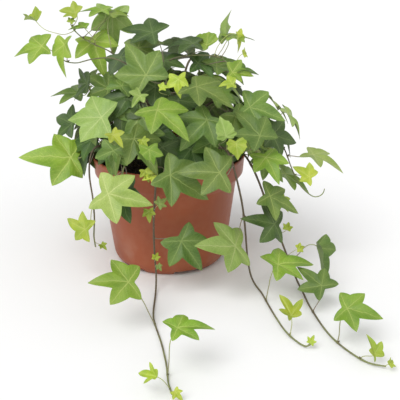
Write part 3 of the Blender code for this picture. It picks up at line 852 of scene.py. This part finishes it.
def build_leaf(name, row, root, out, rng, **habit):
    foot, facing, turn, length, tone = row
    where = leaf_frame(foot, facing, turn)
    bm = bmesh.new()
    layer = bm.verts.layers.float_vector.new("leaf")
    shape = Habit(rng, **habit)
    if length < YOUNG:
        shape.fold += rng.uniform(*YOUNG_FOLD)
    add_leaf_shell(bm, layer, length, shape, where)
    points = petiole_points(where, length, root, out, PETIOLE_POINTS)
    shares = [i / (PETIOLE_POINTS - 1) for i in range(PETIOLE_POINTS)]
    points = [(p + noise.noise_vector(p * 0.12) * PETIOLE_SWAY * math.sin(math.pi * t)) * MM
              for p, t in zip(points, shares)]
    thin = PETIOLE_RADIUS * (0.5 + 0.5 * length / LONGEST)
    radii = []
    for t in shares:
        swell = 0.45 * math.exp(-(t / 0.07) ** 2) + 0.25 * math.exp(-((1 - t) / 0.08) ** 2)
        radii.append(thin * (1 + swell) * (1 - 0.12 * t) * MM)
    add_tube(bm, layer, points, radii, PETIOLE_SIDES, 2)
    obj = finish_mesh(name, bm, LEAF_MATERIALS[tone])
    return obj


def build_stem(name, route, radii, nodes, material, rng):
    """A stem with swollen nodes, each with its small bud."""
    points = smooth_route(route, 4)
    share = (len(points) - 1) / (len(route) - 1)
    thick = []
    for i, point in enumerate(points):
        spot = i / share
        low = min(int(spot), len(radii) - 2)
        radius = radii[low] + (radii[low + 1] - radii[low]) * (spot - low)
        swell = sum(0.34 * math.exp(-((point - node).length / 1.6) ** 2) for node in nodes)
        lumps = 0.10 * noise.noise(point * 0.9)
        thick.append(radius * (1 + min(swell, 0.45) + lumps) * MM)
    bm = bmesh.new()
    layer = bm.verts.layers.float_vector.new("leaf")
    add_tube(bm, layer, [p * MM for p in points], thick, STEM_SIDES, 0)
    for node in nodes:
        lean = Vector((rng.uniform(-1, 1), rng.uniform(-1, 1), rng.uniform(0.1, 1))).normalized()
        bud = [(node + lean * s) * MM for s, _ in BUD]
        add_tube(bm, layer, bud, [radius * MM for _, radius in BUD], 8, 0)
    obj = finish_mesh(name, bm, (material,))
    return obj


STEM_PATHS = {}


def build_shoot(name, route, rows, radii, material, ending, rng):
    """A stem with its leaves, which are returned."""
    STEM_PATHS[name] = route
    taken = set()
    nodes = []
    leaves = []
    for i, row in enumerate(rows):
        root, out = petiole_root(route, Vector(row[0]), row[3], taken)
        nodes.append(root)
        leaves.append(build_leaf(f"{name}_leaf_{i + 1}{ending}", row, root, out, rng,
                                 **SHAPES.get((name, i + 1), {})))
    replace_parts(build_stem(name + "_look", route, radii, nodes, material, rng), name)
    return leaves


def build_plant():
    for name, (radius, knots) in STEMS.items():
        route = smooth_route(knots, 2)
        slim = SHOOT_SLIM if name.endswith("shoot") else 1.0
        radii = [slim * radius * (1.0 - STEM_TAPER * i / len(route)) for i in range(len(route))]
        material = OLD_STEM if name.endswith("vine") else YOUNG_STEM
        leaves = build_shoot(name, route, LEAVES[name], radii, material, "_look",
                             random.Random("stem " + name))
        for i, (leaf, row) in enumerate(zip(leaves, LEAVES[name])):
            if row[3] >= YOUNG:
                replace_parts(leaf, f"{name}_leaf_{i + 1}")


def back_route(direction, height, reach):
    angle = math.radians(direction)
    outward = Vector((math.sin(angle), -math.cos(angle), 0))
    rise = height - STEM_FOOT
    profile = BACK_ROOT + tuple((share * reach, z) for share, z in BACK_ARCH)
    return [outward * r + Vector((0, 0, STEM_FOOT + rise * z)) for r, z in profile]


def back_rows(direction, first_side, route):
    angle = math.radians(direction)
    outward = Vector((math.sin(angle), -math.cos(angle), 0))
    across = Vector((math.cos(angle), math.sin(angle), 0))
    first, last = BACK_SPREAD
    rows = []
    for i in range(BACK_LEAVES):
        share = first + (last - first) * i / (BACK_LEAVES - 1)
        place = route[int(share * (len(route) - 1))]
        side = -first_side if i % 2 else first_side
        foot = (place + outward * (BACK_OUT + 2 * (i % 3)) + across * side * BACK_ASIDE
                + Vector((0, 0, BACK_UP)))
        facing = (direction + side * 18, 58 - 7 * i)
        turn = 180 - side * (38 - 3 * i)
        tone = ("mature", "dark", "bright")[i % 3]
        rows.append((foot, facing, turn, BACK_LENGTH - 1.5 * (i % 3), tone))
    return rows


def build_back():
    for index, (direction, height, reach, first_side) in enumerate(BACK_SHOOTS):
        route = smooth_route(back_route(direction, height, reach), 2)
        name = f"back_shoot_{index + 1}"
        build_shoot(name, route, back_rows(direction, first_side, route),
                    [BACK_RADIUS] * len(route), YOUNG_STEM, "", random.Random(name))


def build_small():
    rng = random.Random("small leaves")
    for i, (*row, root) in enumerate(SMALL_LEAVES):
        foot = Vector(row[0])
        out = (foot - Vector(root)).normalized()
        build_leaf(f"small_leaf_{i + 1}", row, Vector(root), out, rng)


def crown_rows(rng):
    rows = []
    for i in range(CROWN_LEAVES):
        direction = (i * CROWN_TURN + 180) % 360 - 180
        if abs(direction) < CROWN_FRONT:
            continue
        share = (i + 0.5) / CROWN_LEAVES
        reach = CROWN_REACH[1] + (CROWN_REACH[0] - CROWN_REACH[1]) * share ** 1.5
        rise = CROWN_RISE[0] + (CROWN_RISE[1] - CROWN_RISE[0]) * share
        angle = math.radians(direction)
        foot = Vector((math.sin(angle) * reach, -math.cos(angle) * reach, rise))
        facing = (direction + rng.uniform(-25, 25), 20 + 45 * share + rng.uniform(-10, 10))
        tone = rng.choice(("mature", "mature", "dark", "bright"))
        rows.append((foot, facing, 180 + rng.uniform(-70, 70), rng.uniform(25, 31), tone))
    return rows


def build_inner():
    rng = random.Random("inner leaves")
    for i, row in enumerate(list(INNER_LEAVES) + crown_rows(rng)):
        foot = Vector(row[0])
        away = [(abs((p - foot).length - 0.85 * row[3]), p) for route in STEM_PATHS.values()
                for p in route[1:-1] if p.z < foot.z + 8]
        root = min(away, key=lambda pair: pair[0])[1]
        build_leaf(f"inner_leaf_{i + 1}", row, root, (foot - root).normalized(), rng)


# ---- the pot and its soil
POT_STEPS = 160
SHARP = 35                    # a sharper edge than this isn't smoothed


def turned(name, profile, steps):
    mesh = bpy.data.meshes.new(name)
    points = [(r * MM, 0.0, z * MM) for r, z in profile]
    mesh.from_pydata(points, [(i, i + 1) for i in range(len(points) - 1)], [])
    obj = show(name, mesh)
    screw = obj.modifiers.new("turn", "SCREW")
    screw.steps = steps
    screw.render_steps = steps
    screw.use_merge_vertices = True
    screw.merge_threshold = 0.000001
    return obj


def rounded(profile, sizes, steps=4):
    """The profile with each corner of a given size turned into an arc."""
    out = [profile[0]]
    for a, b, c, size in zip(profile, profile[1:], profile[2:], sizes[1:]):
        a, b, c = Vector(a), Vector(b), Vector(c)
        if not size:
            out.append(tuple(b))
            continue
        p = b + (a - b).normalized() * min(size, 0.45 * (a - b).length)
        q = b + (c - b).normalized() * min(size, 0.45 * (c - b).length)
        for i in range(steps + 1):
            t = i / steps
            out.append(tuple((1 - t) ** 2 * p + 2 * t * (1 - t) * b + t * t * q))
    return out + [profile[-1]]


def pot_profile():
    """Corners from the middle of the floor over the rim to the foot, each with its size."""
    return (
        ((0, FLOOR_TOP), 0), ((WALL_FOOT_RADIUS - FLOOR_CORNER, FLOOR_TOP), 1.0),
        ((WALL_FOOT_RADIUS - WALL, WALL_FOOT), 2.0), ((WALL_TOP_RADIUS - WALL, WALL_TOP), 1.5),
        ((RIM_RADIUS - COLLAR_TAPER - WALL, COLLAR_FOOT), 1.5),
        ((RIM_RADIUS - WALL, POT_HEIGHT - 1), 0.8),
        ((RIM_RADIUS - WALL + 0.6, POT_HEIGHT), 0.5), ((RIM_RADIUS - 0.5, POT_HEIGHT), 0.5),
        ((RIM_RADIUS, POT_HEIGHT - 0.8), 0.6), ((RIM_RADIUS - 0.1, POT_HEIGHT - 2.6), 0.4),
        ((RIM_RADIUS - 0.45, POT_HEIGHT - 3.2), 0.4),
        ((RIM_RADIUS - COLLAR_TAPER, COLLAR_FOOT + 0.6), 0.5),
        ((RIM_RADIUS - 2.2, COLLAR_FOOT - 0.4), 0.5),
        ((WALL_TOP_RADIUS, WALL_TOP), 1.2), ((WALL_FOOT_RADIUS, WALL_FOOT), 1.2),
        ((WALL_FOOT_RADIUS - 0.8, 7), 1.2), ((WALL_FOOT_RADIUS - 2.6, 3), 1.2),
        ((FOOT_RADIUS, 0), 0.5), ((0, 0), 0))


def add_pocket(bm, outward, turn):
    size = Matrix.Diagonal((POCKET[1] * MM, POCKET[0] * MM, 2 * POCKET[2] * MM, 1))
    there = Matrix.Translation(outward * POCKET_RADIUS * MM)
    bmesh.ops.create_cube(bm, size=1, matrix=there @ turn @ size)


def add_hole(bm, outward, _):
    there = Matrix.Translation(outward * HOLE_PLACE * MM + Vector((0, 0, FLOOR_TOP * MM)))
    bmesh.ops.create_cone(bm, cap_ends=True, segments=32, radius1=HOLE_RADIUS * MM,
                          radius2=HOLE_RADIUS * MM, depth=3 * POCKET[2] * MM, matrix=there)


def drain_cutter(name, add):
    """One cutter with a shape for each drain around the foot."""
    bm = bmesh.new()
    for i in range(DRAINS):
        angle = math.radians(DRAIN_TURN + i * 360 / DRAINS)
        outward = Vector((math.sin(angle), -math.cos(angle), 0))
        add(bm, outward, Matrix.Rotation(angle, 4, "Z"))
    mesh = bpy.data.meshes.new(name)
    bm.to_mesh(mesh)
    bm.free()
    cutter = show(name, mesh)
    cutter.hide_render = True
    cutter.display_type = "WIRE"
    return cutter


def build_pot():
    profile = pot_profile()
    pot = turned("pot_look", rounded([p for p, _ in profile], [s for _, s in profile]), POT_STEPS)
    cutters = [drain_cutter("pockets", add_pocket), drain_cutter("holes", add_hole)]
    for cutter in cutters:
        cut = pot.modifiers.new(cutter.name, "BOOLEAN")
        cut.operation = "DIFFERENCE"
        cut.solver = "EXACT"
        cut.object = cutter
    applied = bpy.data.meshes.new_from_object(
        pot.evaluated_get(bpy.context.evaluated_depsgraph_get()))
    pot.modifiers.clear()
    pot.data = applied
    for cutter in cutters:
        bpy.data.objects.remove(cutter)
    applied.materials.clear()
    applied.materials.append(pot_material())
    for polygon in applied.polygons:
        polygon.use_smooth = True
    applied.set_sharp_from_angle(angle=math.radians(SHARP))
    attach(pot, "root")
    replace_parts(pot, "pot")


def soil_height(x, y):
    place = Vector((x, y, 0))
    rough = noise.fractal(place * 0.16, 0.7, 2.1, 5)
    lumps = max(0.0, noise.noise(place * 0.45 + Vector((7, 3, 1)))) * 1.6
    return SOIL_TOP - 0.6 + 1.1 * rough + lumps - 0.0006 * (x * x + y * y)


SOIL_SPOKES = 150
SOIL_RINGS = 62
INSIDE = WALL + GAP           # from the pot's outer face to the soil
SOIL_RADIUS = RIM_RADIUS - 0.9 - INSIDE
SOIL_FOOT = ((RIM_RADIUS - COLLAR_TAPER - 0.1 - INSIDE, COLLAR_FOOT),
             (WALL_TOP_RADIUS - 0.1 - INSIDE, WALL_TOP),
             (WALL_FOOT_RADIUS - INSIDE, WALL_FOOT + 0.3),
             (WALL_FOOT_RADIUS - FLOOR_CORNER - 0.3, FLOOR_TOP + GAP))
CRUMBS = 420
CRUMB_SIZES = (0.5, 0.7, 0.9, 1.2, 1.7)


def soil_ring(bm, radius, height):
    """A ring of points at a height, which is a function of x and y or one value."""
    ring = []
    for s in range(SOIL_SPOKES):
        angle = 2 * math.pi * s / SOIL_SPOKES
        x, y = radius * math.sin(angle), radius * math.cos(angle)
        z = height(x, y) if callable(height) else height
        ring.append(bm.verts.new(Vector((x, y, z)) * MM))
    return ring


def add_soil_plug(bm):
    middle = bm.verts.new(Vector((0, 0, soil_height(0, 0))) * MM)
    rings = [soil_ring(bm, SOIL_RADIUS * (r + 1) / SOIL_RINGS, soil_height)
             for r in range(SOIL_RINGS)]
    rings += [soil_ring(bm, radius, z) for radius, z in SOIL_FOOT]
    for s in range(SOIL_SPOKES):
        k = (s + 1) % SOIL_SPOKES
        bm.faces.new((middle, rings[0][s], rings[0][k]))
        for a, b in zip(rings, rings[1:]):
            bm.faces.new((a[s], a[k], b[k], b[s]))
    bm.faces.new(rings[-1])


def add_crumb(bm, rng):
    radius = (SOIL_RADIUS - 2.5) * math.sqrt(rng.random())
    angle = rng.uniform(0, 2 * math.pi)
    size = rng.choice(CRUMB_SIZES)
    x, y = radius * math.sin(angle), radius * math.cos(angle)
    there = Vector((x, y, soil_height(x, y) + size * 0.25)) * MM
    made = bmesh.ops.create_icosphere(bm, subdivisions=2, radius=size * MM,
                                      matrix=Matrix.Translation(there))
    squeeze = Vector((rng.uniform(0.7, 1.3), rng.uniform(0.7, 1.3), rng.uniform(0.5, 0.9)))
    shift = Vector((rng.uniform(0, 90), rng.uniform(0, 90), 0))
    for vert in made["verts"]:
        local = vert.co - there
        grow = 1 + 0.45 * noise.noise(local * 900 / size + shift)
        vert.co = there + Vector(a * b for a, b in zip(local, squeeze)) * grow


def build_soil():
    """A closed plug with a rough top, and loose crumbs on it."""
    rng = random.Random("soil")
    bm = bmesh.new()
    add_soil_plug(bm)
    for _ in range(CRUMBS):
        add_crumb(bm, rng)
    for face in bm.faces:
        face.smooth = True
    soil = finish_mesh("soil_look", bm, (soil_material(),))
    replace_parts(soil, "soil")


# ---- floor, light and camera
FLOOR_HALF = 12               # metres
FLOOR_GAP = 0.0002            # metres, between the pot's foot and the floor
CAMERA_PLACE = (0.0266, -0.614, 0.286)    # metres
CAMERA_TILT = 69
CAMERA_LENS = 67.41
WORLD_LIGHT = 0.64


def build_stage():
    mesh = bpy.data.meshes.new("floor")
    corners = ((-1, -1), (1, -1), (1, 1), (-1, 1))
    mesh.from_pydata([(x * FLOOR_HALF, y * FLOOR_HALF, 0) for x, y in corners], [],
                     [(0, 1, 2, 3)])
    floor = show("floor", mesh)
    floor.location.z = -FLOOR_GAP
    n = Nodes("floor")
    n.shader.inputs["Base Color"].default_value = (0.90, 0.90, 0.90, 1.0)
    n.shader.inputs["Roughness"].default_value = 0.9
    n.shader.inputs["Specular IOR Level"].default_value = 0.1
    mesh.materials.append(n.material)


def add_sun(name, azimuth, elevation, spread, strength):
    """Even light from a wide disc in the sky; azimuth is from the front towards +X."""
    data = bpy.data.lights.new(name, "SUN")
    data.angle = math.radians(spread)
    data.energy = strength
    light = show(name, data)
    around, rise = math.radians(azimuth), math.radians(elevation)
    towards = Vector((math.sin(around) * math.cos(rise), -math.cos(around) * math.cos(rise),
                      math.sin(rise)))
    light.rotation_euler = towards.to_track_quat("Z", "Y").to_euler()


def build_light():
    world = bpy.data.worlds.new("studio")
    world.use_nodes = True
    sky = world.node_tree.nodes["Background"]
    sky.inputs["Color"].default_value = (1, 1, 1, 1)
    sky.inputs["Strength"].default_value = WORLD_LIGHT
    bpy.context.scene.world = world
    add_sun("key", -35, 52, 42, 1.75)
    add_sun("fill", 40, 30, 60, 0.5)
    bpy.context.scene.view_settings.view_transform = "Standard"


def build_camera():
    data = bpy.data.cameras.new("camera")
    data.sensor_width = 36
    data.lens = CAMERA_LENS
    camera = show("camera", data)
    camera.location = CAMERA_PLACE
    camera.rotation_euler = (math.radians(CAMERA_TILT), 0, 0)
    bpy.context.scene.camera = camera


build_camera()
build_plant()
build_back()
build_small()
build_inner()
build_pot()
build_soil()
build_stage()
build_light()
